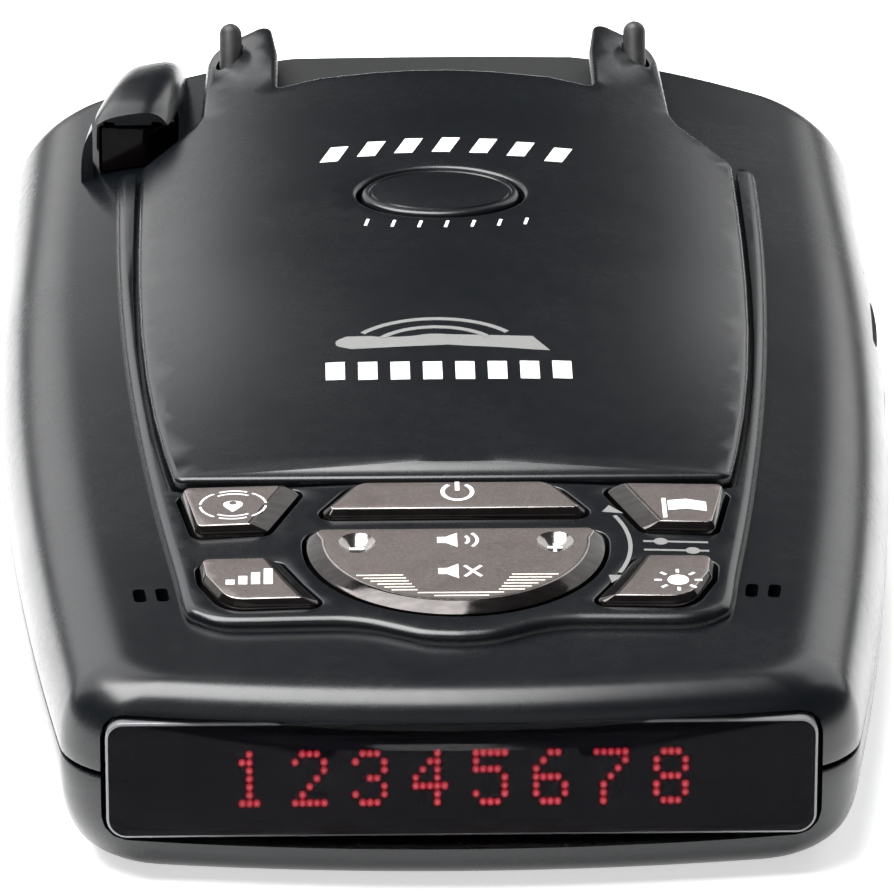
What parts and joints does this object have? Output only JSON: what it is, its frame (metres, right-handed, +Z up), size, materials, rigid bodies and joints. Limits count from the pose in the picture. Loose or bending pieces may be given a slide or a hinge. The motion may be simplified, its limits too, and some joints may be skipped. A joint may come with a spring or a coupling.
{
  "type": "windscreen radar and laser detector",
  "caption": "Flat wedge-shaped car radar and laser detector with a dot-matrix display, raised top keys, a release button over a bracket slot, side sockets and a rear laser window.",
  "frame": {"origin": "centre of the underside, on the surface that the part stands on", "axes": "+Z up, -Y towards the driver (the display end), +Y towards the road ahead (the antenna end), +X to the driver's right"},
  "size_m": [0.0772, 0.1268, 0.0321],
  "materials": {
    "satin_black_plastic": "satin moulded plastic with a faint blue cast",
    "key_paint": "plastic painted a warm metallic grey",
    "smoked_window": "polished, very dark red",
    "window_black": "polished",
    "soft_rubber": "smooth",
    "circuit_board": "green solder mask",
    "dark_component": "moulded",
    "dark_epoxy": "clear dark epoxy",
    "bright_steel": "bright plated",
    "cast_zinc": "as cast",
    "antenna_ceramic": "fired ceramic",
    "cone_paper": "pulp paper"
  },
  "bodies": {
    "housing": {"board_header": "dark_component", "board_screw_1": "bright_steel", "board_screw_2": "bright_steel", "bottom_housing": "satin_black_plastic", "bridge_screw_left": "bright_steel", "bridge_screw_right": "bright_steel", "brightness_switch": "dark_component", "bumper_left": "soft_rubber", "bumper_right": "soft_rubber", "display_board": "circuit_board", "display_lens": "smoked_window", "earphone_jack": "dark_component", "front_laser_board": "circuit_board", "front_laser_lens": "smoked_window", "front_laser_sensor": "dark_epoxy", "front_window": "window_black", "gps_antenna": "antenna_ceramic", "gps_receiver": "bright_steel", "gps_switch": "dark_component", "horn_antenna": "cast_zinc", "housing_screw_1": "bright_steel", "housing_screw_2": "bright_steel", "housing_screw_3": "bright_steel", "housing_screw_4": "bright_steel", "key_board": "circuit_board", "led_display": "dark_component", "main_board": "circuit_board", "mark_switch": "dark_component", "mixer_board": "circuit_board", "mixer_shield": "bright_steel", "mount_cowl": "satin_black_plastic", "mute_switch": "dark_component", "power_jack": "dark_component", "power_switch": "dark_component", "rear_laser_lens": "smoked_window", "rear_laser_sensor": "dark_component", "release_spring": "bright_steel", "sensitivity_switch": "dark_component", "speaker_basket": "bright_steel", "speaker_cone": "cone_paper", "speaker_magnet": "dark_component", "spring_bridge": "bright_steel", "top_housing": "satin_black_plastic", "usb_jack": "bright_steel", "volume_down_switch": "dark_component", "volume_up_switch": "dark_component"},
    "gps_key": {"gps_key": "key_paint"},
    "sensitivity_key": {"sensitivity_key": "key_paint"},
    "power_key": {"power_key": "key_paint"},
    "mark_key": {"mark_key": "key_paint"},
    "brightness_key": {"brightness_key": "key_paint"},
    "mute_carrier": {"mute_carrier": "dark_component"},
    "volume_key": {"volume_key": "key_paint"},
    "release": {"release_button": "satin_black_plastic", "release_latch": "dark_component"}
  },
  "joints": [
    {"name": "gps_key_press", "type": "slide", "parent": "housing", "child": "gps_key", "axis": [0, 0.1003, -0.995], "range_m": [0, 0.0005], "stiffness_N_per_m": 400, "springref_m": -0.0003},
    {"name": "sensitivity_key_press", "type": "slide", "parent": "housing", "child": "sensitivity_key", "axis": [0, 0.1003, -0.995], "range_m": [0, 0.0005], "stiffness_N_per_m": 400, "springref_m": -0.0003},
    {"name": "power_key_press", "type": "slide", "parent": "housing", "child": "power_key", "axis": [0, 0.1003, -0.995], "range_m": [0, 0.0005], "stiffness_N_per_m": 400, "springref_m": -0.0003},
    {"name": "mark_key_press", "type": "slide", "parent": "housing", "child": "mark_key", "axis": [0, 0.1003, -0.995], "range_m": [0, 0.0005], "stiffness_N_per_m": 400, "springref_m": -0.0003},
    {"name": "brightness_key_press", "type": "slide", "parent": "housing", "child": "brightness_key", "axis": [0, 0.1003, -0.995], "range_m": [0, 0.0005], "stiffness_N_per_m": 400, "springref_m": -0.0003},
    {"name": "mute_press", "type": "slide", "parent": "housing", "child": "mute_carrier", "axis": [0, 0.1003, -0.995], "range_m": [0, 0.00045], "stiffness_N_per_m": 600, "springref_m": -0.0003},
    {"name": "volume_rock", "type": "hinge", "parent": "mute_carrier", "child": "volume_key", "pos_m": [0, -0.04208, 0.01379], "axis": [0, 0.995, 0.1003], "range_deg": [-2.5, 2.5], "stiffness_Nm_per_rad": 0.06},
    {"name": "release_press", "type": "slide", "parent": "housing", "child": "release", "axis": [0, 0.1003, -0.995], "range_m": [0, 0.0015], "stiffness_N_per_m": 700, "springref_m": -0.001, "deforming": ["release_spring"]}
  ]
}
